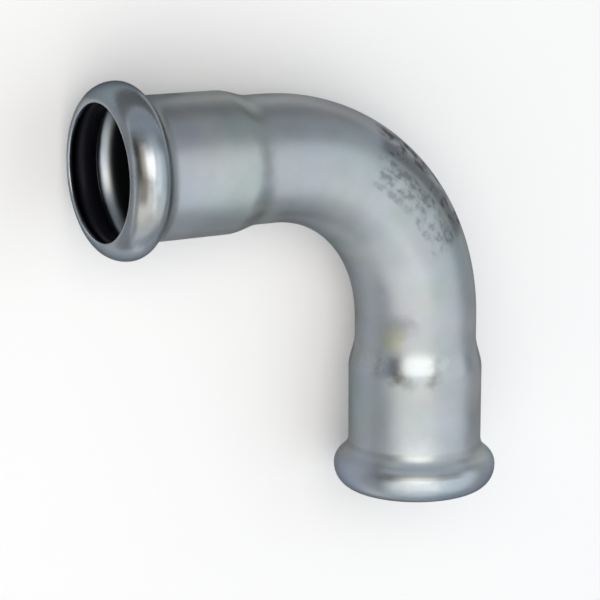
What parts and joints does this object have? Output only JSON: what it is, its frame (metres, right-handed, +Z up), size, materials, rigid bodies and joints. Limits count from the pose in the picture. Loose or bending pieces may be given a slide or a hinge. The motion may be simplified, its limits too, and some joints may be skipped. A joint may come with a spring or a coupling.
{
  "type": "press fit elbow",
  "caption": "Quarter-turn press elbow in one bent steel tube, each end widened to a pipe socket with a rolled bead that holds a black rubber seal.",
  "frame": {"origin": "middle of the elbow's plan, on the surface that it lies on", "axes": "+Z up from that surface; socket A's mouth faces -X and socket B's mouth faces -Y, and both mouths look up by about 5 degrees"},
  "size_m": [0.0998, 0.0998, 0.0375],
  "materials": {
    "steel": "satin bright zinc-plated steel",
    "seal": "smooth black rubber, slightly oily"
  },
  "bodies": {
    "root": {"elbow_body": "steel", "seal_ring_a": "seal", "seal_ring_b": "seal"}
  },
  "joints": []
}
